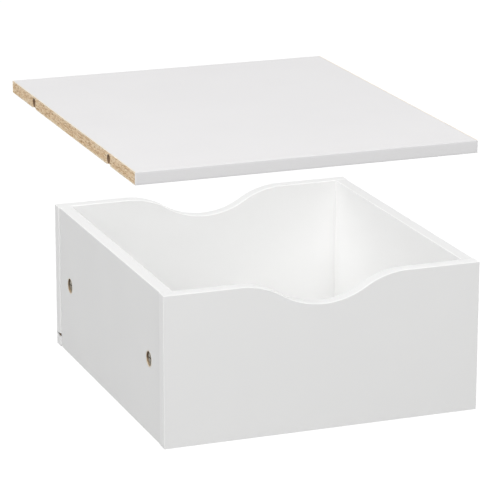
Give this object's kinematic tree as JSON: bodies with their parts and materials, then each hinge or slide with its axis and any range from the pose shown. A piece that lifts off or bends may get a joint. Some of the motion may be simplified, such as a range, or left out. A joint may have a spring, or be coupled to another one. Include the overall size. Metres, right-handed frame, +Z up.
{
  "type": "drawer box with shelf board",
  "caption": "Open drawer box of white coated board with a wave-shaped hand scoop front and back, turning cam fittings in its sides, and a loose shelf board that lowers onto its rim.",
  "frame": {"origin": "centre of the box's footprint, on the surface it stands on", "axes": "+Z up, the front of the box towards -Y, +X to the right seen from the front"},
  "size_m": [0.396, 0.468, 0.3103],
  "materials": {
    "coated_board": "chipboard with a smooth white melamine face",
    "floor_board": "thin hardboard with a white face",
    "edge_band": "white satin edge band",
    "cam_zinc": "dull die-cast zinc",
    "bolt_steel": "zinc-plated steel",
    "dowel_beech": "fluted beech",
    "shelf_coated_board": "chipboard with white melamine faces and raw side edges"
  },
  "bodies": {
    "box": {"front_panel": "coated_board", "back_panel": "coated_board", "left_side": "coated_board", "right_side": "coated_board", "floor_panel": "floor_board", "front_top_band": "edge_band", "back_top_band": "edge_band", "left_top_band": "edge_band", "right_top_band": "edge_band", "front_left_band": "edge_band", "front_right_band": "edge_band", "back_left_band": "edge_band", "back_right_band": "edge_band", "cam_bolts": "bolt_steel", "corner_dowels": "dowel_beech"},
    "cam_front_left": {"cam_front_left": "cam_zinc"},
    "cam_front_right": {"cam_front_right": "cam_zinc"},
    "cam_back_left": {"cam_back_left": "cam_zinc"},
    "cam_back_right": {"cam_back_right": "cam_zinc"},
    "shelf": {"shelf_board": "shelf_coated_board", "shelf_front_band": "edge_band", "shelf_back_band": "edge_band"}
  },
  "joints": [
    {"name": "cam_front_left_turn", "type": "hinge", "parent": "box", "child": "cam_front_left", "pos_m": [-0.1575, -0.128, 0.077], "axis": [-1, 0, 0], "range_deg": [0, 180]},
    {"name": "cam_front_right_turn", "type": "hinge", "parent": "box", "child": "cam_front_right", "pos_m": [0.1575, -0.128, 0.077], "axis": [-1, 0, 0], "range_deg": [0, 180]},
    {"name": "cam_back_left_turn", "type": "hinge", "parent": "box", "child": "cam_back_left", "pos_m": [-0.1575, 0.128, 0.077], "axis": [1, 0, 0], "range_deg": [0, 180]},
    {"name": "cam_back_right_turn", "type": "hinge", "parent": "box", "child": "cam_back_right", "pos_m": [0.1575, 0.128, 0.077], "axis": [1, 0, 0], "range_deg": [0, 180]},
    {"name": "shelf_lower", "type": "slide", "parent": "box", "child": "shelf", "axis": [0.3621, 0.4527, -0.8148], "range_m": [0, 0.17673]}
  ]
}
